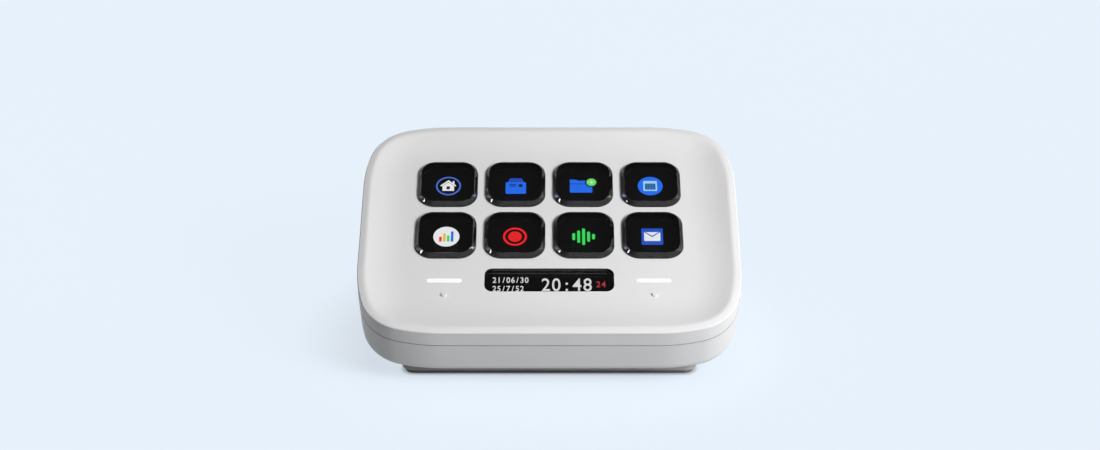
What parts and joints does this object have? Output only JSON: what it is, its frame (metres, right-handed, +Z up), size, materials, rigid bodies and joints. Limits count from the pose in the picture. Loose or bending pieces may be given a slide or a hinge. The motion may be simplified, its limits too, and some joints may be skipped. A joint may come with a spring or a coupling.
{
  "type": "desk keypad with display keys",
  "caption": "Tilted desk keypad: clear display keys, an information window and touch bars in a dished housing on a weighted stand.",
  "frame": {"origin": "centre of the footprint's bounding box, on the desk", "axes": "+X to the user's right along the keypad's width, +Y away from the user towards the back, +Z up"},
  "size_m": [0.107, 0.0768, 0.0526],
  "materials": {
    "housing": "fine matte moulded plastic",
    "key_clear": "clear polished plastic",
    "lens": "smoked clear window",
    "light_bar": "glowing diffuser",
    "silicone": "dark silicone",
    "contact_film": "polyimide film",
    "display_glass": "black display glass",
    "backlight_tray": "folded tray",
    "carrier_plastic": "black moulded plastic",
    "circuit_board": "green solder mask",
    "chip_plastic": "black epoxy",
    "diode": "diode package",
    "screw_steel": "zinc plated",
    "connector_steel": "nickel plated",
    "weight_steel": "plain sheet steel",
    "foot_rubber": "matte dark rubber"
  },
  "bodies": {
    "housing": {"top_housing": "housing", "bottom_housing": "housing", "stand": "housing", "info_lens": "lens", "touch_light_left": "light_bar", "touch_light_right": "light_bar", "key_sheet": "silicone", "contact_sheet": "contact_film", "display_cable": "contact_film", "front_cable": "contact_film", "key_display": "display_glass", "info_display": "display_glass", "key_backlight": "backlight_tray", "display_carrier": "carrier_plastic", "main_board": "circuit_board", "touch_board": "circuit_board", "processor": "chip_plastic", "memory_chip": "chip_plastic", "display_socket": "chip_plastic", "front_socket": "chip_plastic", "usb_c_tongue": "chip_plastic", "touch_leds": "diode", "carrier_screws": "screw_steel", "board_screws": "screw_steel", "housing_screws": "screw_steel", "stand_screws": "screw_steel", "usb_c_shell": "connector_steel", "base_weight": "weight_steel", "rubber_foot": "foot_rubber"},
    "key_1": {"key_cap_1": "key_clear"},
    "key_2": {"key_cap_2": "key_clear"},
    "key_3": {"key_cap_3": "key_clear"},
    "key_4": {"key_cap_4": "key_clear"},
    "key_5": {"key_cap_5": "key_clear"},
    "key_6": {"key_cap_6": "key_clear"},
    "key_7": {"key_cap_7": "key_clear"},
    "key_8": {"key_cap_8": "key_clear"}
  },
  "joints": [
    {"name": "key_1_press", "type": "slide", "parent": "housing", "child": "key_1", "axis": [0, 0.4226, -0.9063], "range_m": [0, 0.0008], "stiffness_N_per_m": 700, "springref_m": -0.0005},
    {"name": "key_2_press", "type": "slide", "parent": "housing", "child": "key_2", "axis": [0, 0.4226, -0.9063], "range_m": [0, 0.0008], "stiffness_N_per_m": 700, "springref_m": -0.0005},
    {"name": "key_3_press", "type": "slide", "parent": "housing", "child": "key_3", "axis": [0, 0.4226, -0.9063], "range_m": [0, 0.0008], "stiffness_N_per_m": 700, "springref_m": -0.0005},
    {"name": "key_4_press", "type": "slide", "parent": "housing", "child": "key_4", "axis": [0, 0.4226, -0.9063], "range_m": [0, 0.0008], "stiffness_N_per_m": 700, "springref_m": -0.0005},
    {"name": "key_5_press", "type": "slide", "parent": "housing", "child": "key_5", "axis": [0, 0.4226, -0.9063], "range_m": [0, 0.0008], "stiffness_N_per_m": 700, "springref_m": -0.0005},
    {"name": "key_6_press", "type": "slide", "parent": "housing", "child": "key_6", "axis": [0, 0.4226, -0.9063], "range_m": [0, 0.0008], "stiffness_N_per_m": 700, "springref_m": -0.0005},
    {"name": "key_7_press", "type": "slide", "parent": "housing", "child": "key_7", "axis": [0, 0.4226, -0.9063], "range_m": [0, 0.0008], "stiffness_N_per_m": 700, "springref_m": -0.0005},
    {"name": "key_8_press", "type": "slide", "parent": "housing", "child": "key_8", "axis": [0, 0.4226, -0.9063], "range_m": [0, 0.0008], "stiffness_N_per_m": 700, "springref_m": -0.0005}
  ]
}
